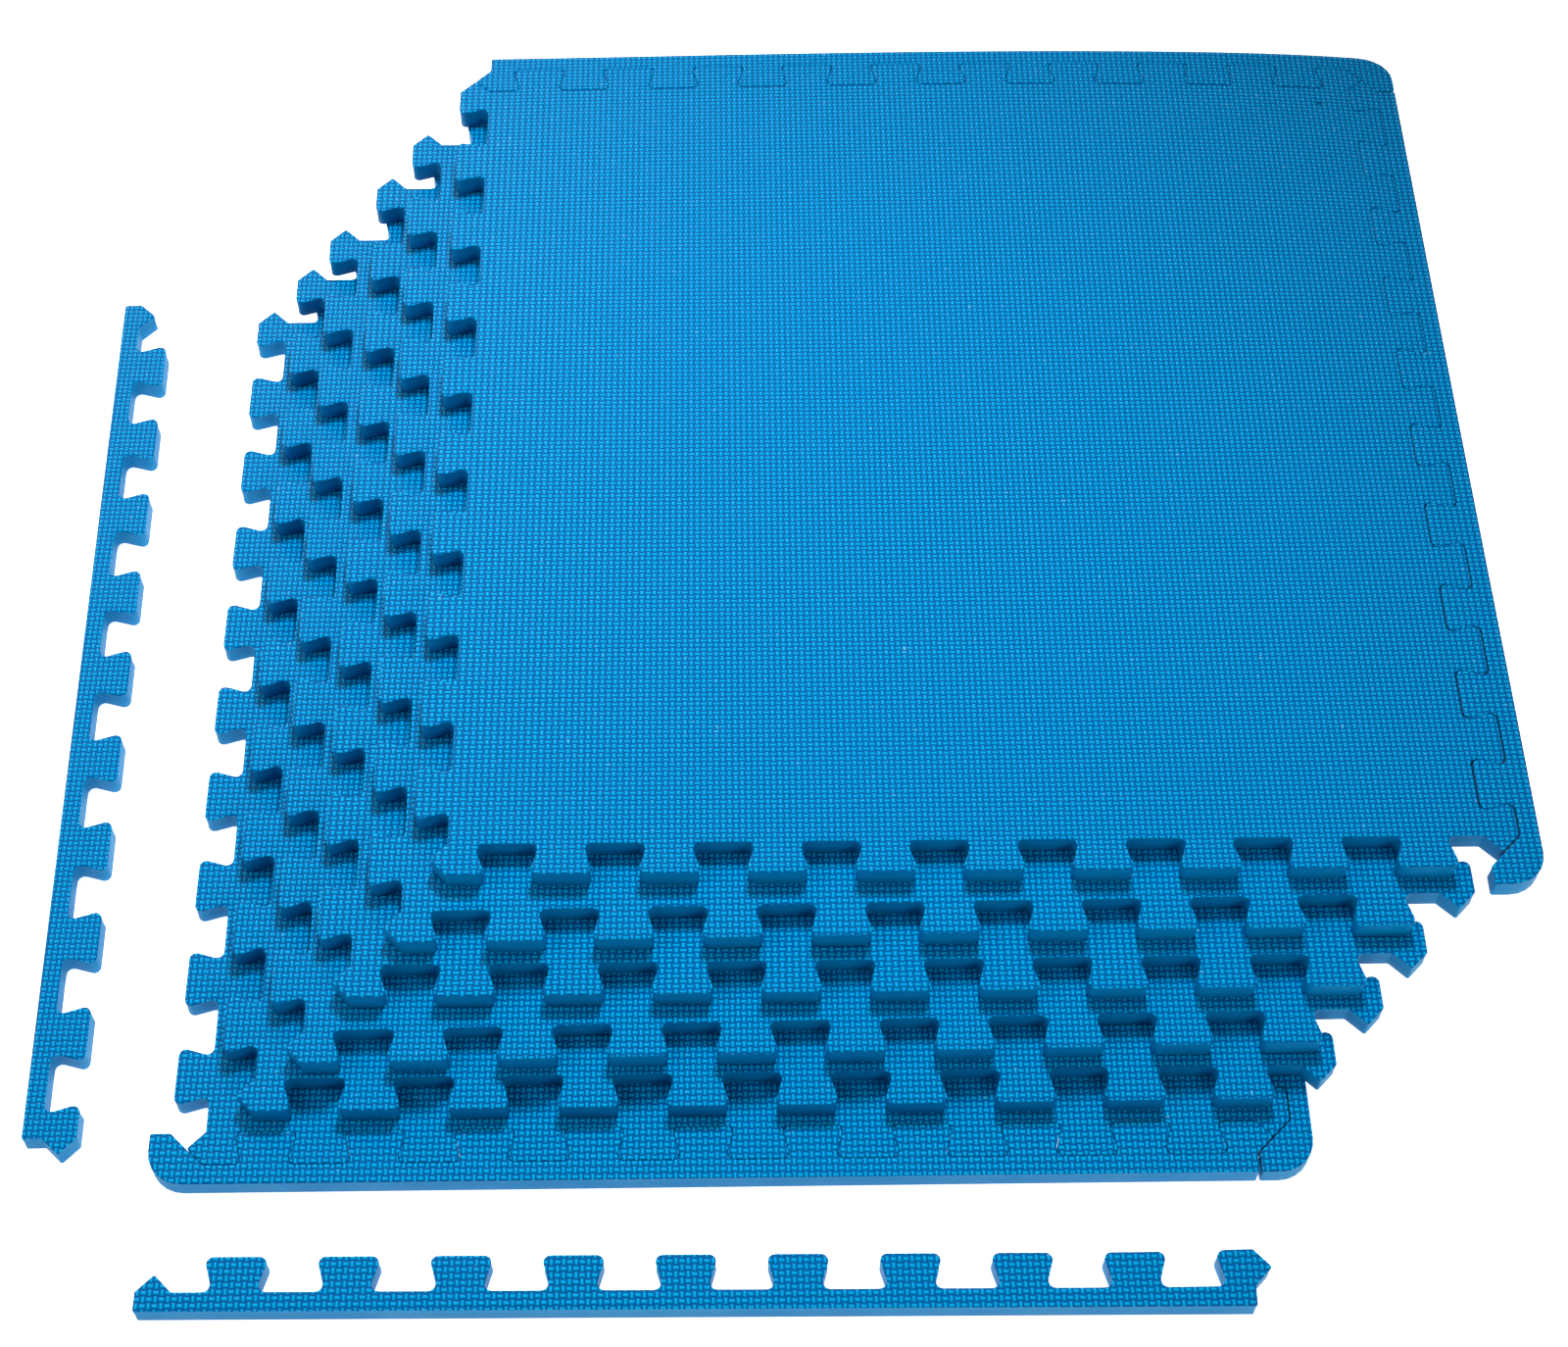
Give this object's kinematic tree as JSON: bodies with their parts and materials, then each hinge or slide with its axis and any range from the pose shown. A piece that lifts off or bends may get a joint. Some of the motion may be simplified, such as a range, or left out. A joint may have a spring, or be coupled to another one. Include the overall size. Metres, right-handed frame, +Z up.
{
  "type": "interlocking foam blocking mats",
  "caption": "Stack of square interlocking foam mats with dovetail edges and a basket-weave top, with straight and corner edge strips.",
  "frame": {"origin": "on the surface that the set lies on, under the middle of the whole set's bounding box", "axes": "+X to the right along the top mat's front edge, +Y towards its back edge, +Z up"},
  "size_m": [0.8698, 0.8707, 0.0867],
  "materials": {
    "mat_foam": "closed-cell foam, satin blue, embossed basket weave on top, smooth cut edges",
    "strip_foam": "closed-cell foam, satin blue, embossed basket weave on top, smooth cut edges"
  },
  "bodies": {
    "mat_1": {"mat_1": "mat_foam"},
    "mat_2": {"mat_2": "mat_foam"},
    "mat_3": {"mat_3": "mat_foam"},
    "mat_4": {"mat_4": "mat_foam"},
    "mat_5": {"mat_5": "mat_foam"},
    "mat_6": {"mat_6": "mat_foam"},
    "top_back_edge_strip": {"top_back_edge_strip": "strip_foam"},
    "top_right_edge_strip": {"top_right_edge_strip": "strip_foam"},
    "bottom_front_edge_strip": {"bottom_front_edge_strip": "strip_foam"},
    "bottom_right_edge_strip": {"bottom_right_edge_strip": "strip_foam"},
    "loose_front_edge_strip": {"loose_front_edge_strip": "strip_foam"},
    "loose_left_edge_strip": {"loose_left_edge_strip": "strip_foam"}
  },
  "joints": [
    {"name": "mat_1_lift", "type": "slide", "parent": "bottom_right_edge_strip", "child": "mat_1", "axis": [0, 0, 1], "range_m": [0, 0.05]},
    {"name": "mat_2_lift", "type": "slide", "parent": "mat_1", "child": "mat_2", "axis": [0, 0, 1], "range_m": [0, 0.08]},
    {"name": "mat_3_lift", "type": "slide", "parent": "mat_2", "child": "mat_3", "axis": [0, 0, 1], "range_m": [0, 0.08]},
    {"name": "mat_4_lift", "type": "slide", "parent": "mat_3", "child": "mat_4", "axis": [0, 0, 1], "range_m": [0, 0.08]},
    {"name": "mat_5_lift", "type": "slide", "parent": "mat_4", "child": "mat_5", "axis": [0, 0, 1], "range_m": [0, 0.08]},
    {"name": "mat_6_lift", "type": "slide", "parent": "mat_5", "child": "mat_6", "axis": [0, 0, 1], "range_m": [0, 0.08]},
    {"name": "top_back_strip_lift", "type": "slide", "parent": "mat_6", "child": "top_back_edge_strip", "axis": [0, 0, 1], "range_m": [0, 0.035]},
    {"name": "top_right_strip_lift", "type": "slide", "parent": "mat_6", "child": "top_right_edge_strip", "axis": [0, 0, 1], "range_m": [0, 0.035]},
    {"name": "bottom_front_strip_lift", "type": "slide", "parent": "mat_1", "child": "bottom_front_edge_strip", "axis": [0, 0, 1], "range_m": [0, 0.035]},
    {"name": "loose_front_strip_lift", "type": "slide", "parent": "bottom_right_edge_strip", "child": "loose_front_edge_strip", "axis": [0, 0, 1], "range_m": [0, 0.08]},
    {"name": "loose_left_strip_lift", "type": "slide", "parent": "bottom_right_edge_strip", "child": "loose_left_edge_strip", "axis": [0, 0, 1], "range_m": [0, 0.08]}
  ]
}
